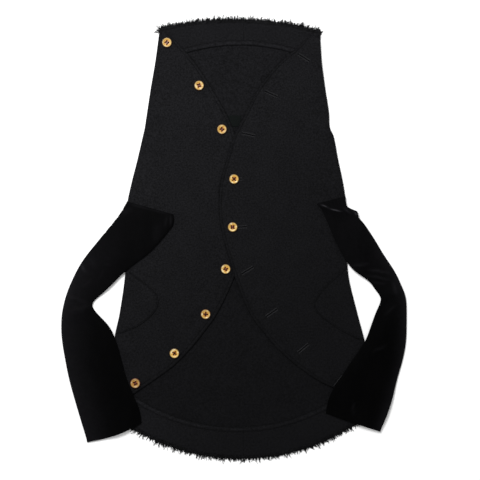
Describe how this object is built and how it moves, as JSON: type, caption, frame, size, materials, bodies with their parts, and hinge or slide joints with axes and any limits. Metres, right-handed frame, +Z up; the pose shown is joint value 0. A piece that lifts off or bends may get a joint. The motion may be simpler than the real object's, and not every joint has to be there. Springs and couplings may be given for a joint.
{
  "type": "cardigan jacket",
  "caption": "Round-cut cardigan jacket laid flat on its back, buttoned at the waist, with velvet sleeves folded down over the fronts, round side pockets and frayed hems.",
  "frame": {"origin": "middle of the whole garment's outline, on the surface that it lies on", "axes": "+Y towards the neck hem, +X towards the side without buttons, +Z up out of the fronts"},
  "size_m": [0.7432, 0.9589, 0.0145],
  "materials": {
    "wool": "black milled wool knit, matt, with a short nap and a raw edge",
    "facing": "black wool turned in at the hems, matt",
    "label": "bare woven tape, near black, slightly glossy",
    "velvet": "black velvet with a soft sheen on its folds",
    "button": "tan nut shell or wood, polished, with a paler rim"
  },
  "bodies": {
    "root": {"back": "wool", "facing_top_left": "facing", "facing_top_right": "facing", "facing_bottom_left": "facing", "facing_bottom_right": "facing", "front_left": "wool", "front_right": "wool", "pocket_left": "wool", "pocket_right": "wool", "label": "label", "sleeve_left": "velvet", "sleeve_right": "velvet", "button_1": "button", "button_2": "button", "button_3": "button", "button_4": "button", "button_5": "button", "button_6": "button", "button_7": "button", "button_8": "button", "button_9": "button", "fringe_top": "wool", "fringe_bottom": "wool"}
  },
  "joints": []
}
